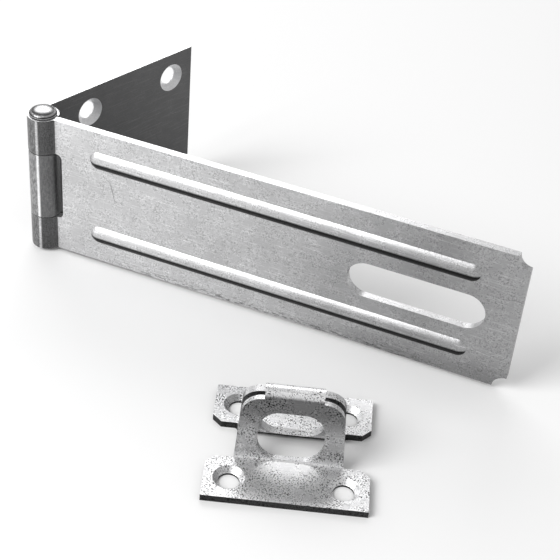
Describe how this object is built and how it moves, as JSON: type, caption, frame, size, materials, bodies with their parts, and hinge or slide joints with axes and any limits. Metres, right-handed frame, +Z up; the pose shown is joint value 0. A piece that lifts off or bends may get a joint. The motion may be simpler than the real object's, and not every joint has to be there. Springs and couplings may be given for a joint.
{
  "type": "hasp and staple",
  "caption": "Hinged hasp formed from flat steel sheet, with a slotted ribbed arm that swings over a screw-down leaf and drops over a separate staple for a padlock.",
  "frame": {"origin": "on the ground, under the middle of the box round the hasp and its staple", "axes": "+X along the arm from the hinge pin to its free end, +Y from the staple towards the arm, +Z up along the hinge pin"},
  "size_m": [0.1486, 0.1324, 0.0473],
  "materials": {
    "arm_zinc": "zinc plated, satin",
    "leaf_zinc": "zinc plated, satin",
    "pin_steel": "zinc plated, riveted ends",
    "staple_zinc": "zinc plated, satin"
  },
  "bodies": {
    "arm": {"hasp_arm": "arm_zinc", "hinge_pin": "pin_steel"},
    "leaf": {"hinge_leaf": "leaf_zinc"},
    "staple": {"staple": "staple_zinc"}
  },
  "joints": [
    {"name": "hinge", "type": "hinge", "parent": "arm", "child": "leaf", "pos_m": [-0.0697, 0.00894, 0.02345], "axis": [0, 0, 1], "range_deg": [-68.4, 111.6]},
    {"name": "staple_lift", "type": "slide", "parent": "arm", "child": "staple", "axis": [0, 0, 1], "range_m": [0, 0.06]}
  ]
}
